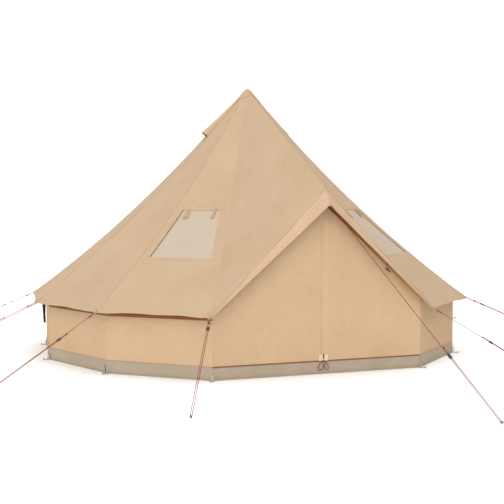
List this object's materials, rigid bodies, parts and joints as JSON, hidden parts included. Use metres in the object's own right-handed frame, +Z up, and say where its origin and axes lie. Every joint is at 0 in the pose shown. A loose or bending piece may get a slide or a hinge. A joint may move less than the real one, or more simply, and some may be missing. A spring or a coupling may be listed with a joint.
{
  "type": "bell tent",
  "caption": "Round canvas bell tent on a centre pole, with a sloping door canopy, zipped door leaves, vertical side walls, groundsheet, guy lines with runners, and pegs.",
  "frame": {"origin": "on the ground under the peak, at the groundsheet's underside", "axes": "+Z up, the door faces -Y"},
  "size_m": [6.6961, 7.151, 2.7076],
  "materials": {
    "roof_canvas": "woven cotton canvas, sand",
    "hem_canvas": "woven cotton canvas, sand",
    "wall_canvas": "woven cotton canvas, sand",
    "skirt_pvc": "PVC-coated polyester, khaki grey",
    "mesh_net": "fine polyester insect net, pale",
    "galvanised_steel": "zinc-plated steel",
    "black_plastic": "moulded nylon, black",
    "runner_plastic": "moulded nylon, black",
    "orange_cord": "braided polyester cord, orange red"
  },
  "bodies": {
    "tent": {"canopy_hem_left": "hem_canvas", "canopy_hem_right": "hem_canvas", "canopy_left": "roof_canvas", "canopy_right": "roof_canvas", "centre_pole_lower": "galvanised_steel", "centre_pole_upper": "galvanised_steel", "door_jamb_left": "wall_canvas", "door_jamb_right": "wall_canvas", "door_sill": "skirt_pvc", "eave_rings": "galvanised_steel", "frame_apex_joint": "black_plastic", "frame_leg_left": "galvanised_steel", "frame_leg_right": "galvanised_steel", "groundsheet": "skirt_pvc", "guy_line_door": "orange_cord", "guy_lines_left": "orange_cord", "guy_lines_right": "orange_cord", "guy_pegs": "galvanised_steel", "mud_skirt": "skirt_pvc", "peak_cap": "roof_canvas", "peg_loops": "skirt_pvc", "pole_foot": "black_plastic", "pole_plug": "black_plastic", "pole_spigot": "galvanised_steel", "roof_panel_01": "roof_canvas", "roof_panel_02": "roof_canvas", "roof_panel_03": "roof_canvas", "roof_panel_04": "roof_canvas", "roof_panel_05": "roof_canvas", "roof_panel_06": "roof_canvas", "roof_panel_07": "roof_canvas", "roof_panel_08": "roof_canvas", "roof_panel_09": "roof_canvas", "roof_panel_10": "roof_canvas", "roof_panel_11": "roof_canvas", "sidewall_back": "wall_canvas", "sidewall_left": "wall_canvas", "sidewall_right": "wall_canvas", "vent_hoods": "roof_canvas", "vent_meshes": "mesh_net", "wall_pegs": "galvanised_steel", "window_covers": "wall_canvas", "window_meshes": "mesh_net"},
    "door_left": {"door_leaf_left": "wall_canvas"},
    "door_right": {"door_leaf_right": "wall_canvas", "storm_flap": "wall_canvas"},
    "zip_slider": {"door_zip_slider": "black_plastic"},
    "tensioner_01": {"tensioner_01": "runner_plastic"},
    "tensioner_02": {"tensioner_02": "runner_plastic"},
    "tensioner_03": {"tensioner_03": "runner_plastic"},
    "tensioner_04": {"tensioner_04": "runner_plastic"},
    "tensioner_05": {"tensioner_05": "runner_plastic"},
    "tensioner_06": {"tensioner_06": "runner_plastic"},
    "tensioner_07": {"tensioner_07": "runner_plastic"},
    "tensioner_08": {"tensioner_08": "runner_plastic"},
    "tensioner_09": {"tensioner_09": "runner_plastic"},
    "tensioner_10": {"tensioner_10": "runner_plastic"},
    "tensioner_11": {"tensioner_11": "runner_plastic"},
    "tensioner_12": {"tensioner_12": "runner_plastic"},
    "tensioner_door": {"tensioner_door": "runner_plastic"}
  },
  "joints": [
    {"name": "door_right_fold", "type": "hinge", "parent": "tent", "child": "door_right", "pos_m": [0.03, -1.7654, 1.362], "axis": [-0.5734, 0, 0.8192], "range_deg": [0, 105]},
    {"name": "door_left_fold", "type": "hinge", "parent": "tent", "child": "door_left", "pos_m": [-0.03, -1.7654, 1.362], "axis": [-0.5734, 0, -0.8192], "range_deg": [0, 105]},
    {"name": "zip_slide", "type": "slide", "parent": "door_right", "child": "zip_slider", "axis": [0, 0, 1], "range_m": [0, 1.12]},
    {"name": "tensioner_01_slide", "type": "slide", "parent": "tent", "child": "tensioner_01", "axis": [0.3728, -0.8422, -0.3895], "range_m": [0, 0.25]},
    {"name": "tensioner_02_slide", "type": "slide", "parent": "tent", "child": "tensioner_02", "axis": [0.7603, -0.5194, -0.3901], "range_m": [0, 0.25]},
    {"name": "tensioner_03_slide", "type": "slide", "parent": "tent", "child": "tensioner_03", "axis": [0.9145, -0.1076, -0.3901], "range_m": [0, 0.25]},
    {"name": "tensioner_04_slide", "type": "slide", "parent": "tent", "child": "tensioner_04", "axis": [0.8601, 0.3288, -0.3901], "range_m": [0, 0.25]},
    {"name": "tensioner_05_slide", "type": "slide", "parent": "tent", "child": "tensioner_05", "axis": [0.6095, 0.6902, -0.3901], "range_m": [0, 0.25]},
    {"name": "tensioner_06_slide", "type": "slide", "parent": "tent", "child": "tensioner_06", "axis": [0.2199, 0.8941, -0.3901], "range_m": [0, 0.25]},
    {"name": "tensioner_07_slide", "type": "slide", "parent": "tent", "child": "tensioner_07", "axis": [-0.2199, 0.8941, -0.3901], "range_m": [0, 0.25]},
    {"name": "tensioner_08_slide", "type": "slide", "parent": "tent", "child": "tensioner_08", "axis": [-0.6095, 0.6902, -0.3901], "range_m": [0, 0.25]},
    {"name": "tensioner_09_slide", "type": "slide", "parent": "tent", "child": "tensioner_09", "axis": [-0.8601, 0.3288, -0.3901], "range_m": [0, 0.25]},
    {"name": "tensioner_10_slide", "type": "slide", "parent": "tent", "child": "tensioner_10", "axis": [-0.9145, -0.1076, -0.3901], "range_m": [0, 0.25]},
    {"name": "tensioner_11_slide", "type": "slide", "parent": "tent", "child": "tensioner_11", "axis": [-0.7603, -0.5194, -0.3901], "range_m": [0, 0.25]},
    {"name": "tensioner_12_slide", "type": "slide", "parent": "tent", "child": "tensioner_12", "axis": [-0.3728, -0.8422, -0.3895], "range_m": [0, 0.25]},
    {"name": "tensioner_door_slide", "type": "slide", "parent": "tent", "child": "tensioner_door", "axis": [0.1414, -0.7987, -0.5849], "range_m": [0, 0.25]}
  ]
}
